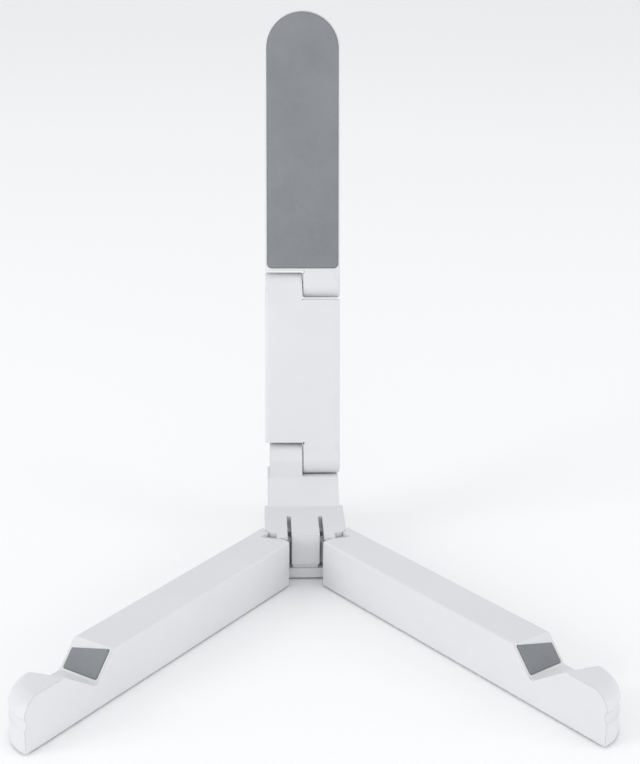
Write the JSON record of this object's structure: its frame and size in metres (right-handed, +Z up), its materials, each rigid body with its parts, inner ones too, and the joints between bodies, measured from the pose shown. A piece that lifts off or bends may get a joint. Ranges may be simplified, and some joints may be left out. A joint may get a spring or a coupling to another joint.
{
  "type": "photo album stand",
  "caption": "Fold-up stand: low arms with padded notches spread forward from a hub, and a two-part hinged column with a long pad leans back to hold an album or tablet.",
  "frame": {"origin": "on the table, on the underside of the hub's rubber foot, midway between the two swing pins", "axes": "+Z up, -Y to the front where the arms reach, +X to the right of a person who faces the stand's front"},
  "size_m": [0.1724, 0.1938, 0.1848],
  "materials": {
    "white_shell": "semi-gloss moulded white",
    "grey_pad": "matt grey",
    "rubber_foot": "matt black",
    "steel": "plain",
    "nylon": "natural"
  },
  "bodies": {
    "hub": {"hub_body": "white_shell", "hub_base": "white_shell", "hub_foot": "rubber_foot", "hub_screws": "steel", "swing_pins": "steel", "swing_spring_washers": "steel", "swing_top_washers": "nylon", "tilt_pin": "steel", "tilt_nut": "steel", "tilt_cap_left": "white_shell"},
    "left_arm": {"left_arm_body": "white_shell", "left_arm_cover": "white_shell", "left_arm_screws": "steel", "left_arm_foot": "rubber_foot", "left_notch_pad": "grey_pad", "left_swing_bush": "nylon"},
    "right_arm": {"right_arm_body": "white_shell", "right_arm_cover": "white_shell", "right_arm_screws": "steel", "right_arm_foot": "rubber_foot", "right_notch_pad": "grey_pad", "right_swing_bush": "nylon"},
    "lower_link": {"lower_link_body": "white_shell", "lower_link_cover": "white_shell", "lower_link_screws": "steel", "tilt_cap_right": "white_shell", "tilt_spring_washer": "steel", "knuckle_pin": "steel", "knuckle_nut": "steel", "knuckle_cap_left": "white_shell"},
    "upper_link": {"upper_link_body": "white_shell", "upper_link_cover": "white_shell", "upper_link_screws": "steel", "column_pad": "grey_pad", "knuckle_cap_right": "white_shell", "knuckle_spring_washer": "steel"}
  },
  "joints": [
    {"name": "left_arm_swing", "type": "hinge", "parent": "hub", "child": "left_arm", "pos_m": [-0.01005, 0, 0], "axis": [0, 0, 1], "range_deg": [-5, 35.8]},
    {"name": "right_arm_swing", "type": "hinge", "parent": "hub", "child": "right_arm", "pos_m": [0.01005, 0, 0], "axis": [0, 0, 1], "range_deg": [-35.8, 5]},
    {"name": "column_tilt", "type": "hinge", "parent": "hub", "child": "lower_link", "pos_m": [0, 0.037, 0.0284], "axis": [1, 0, 0], "range_deg": [-16, 104]},
    {"name": "pad_tilt", "type": "hinge", "parent": "lower_link", "child": "upper_link", "pos_m": [0, 0.05224, 0.08953], "axis": [1, 0, 0], "range_deg": [-75, 0]}
  ]
}
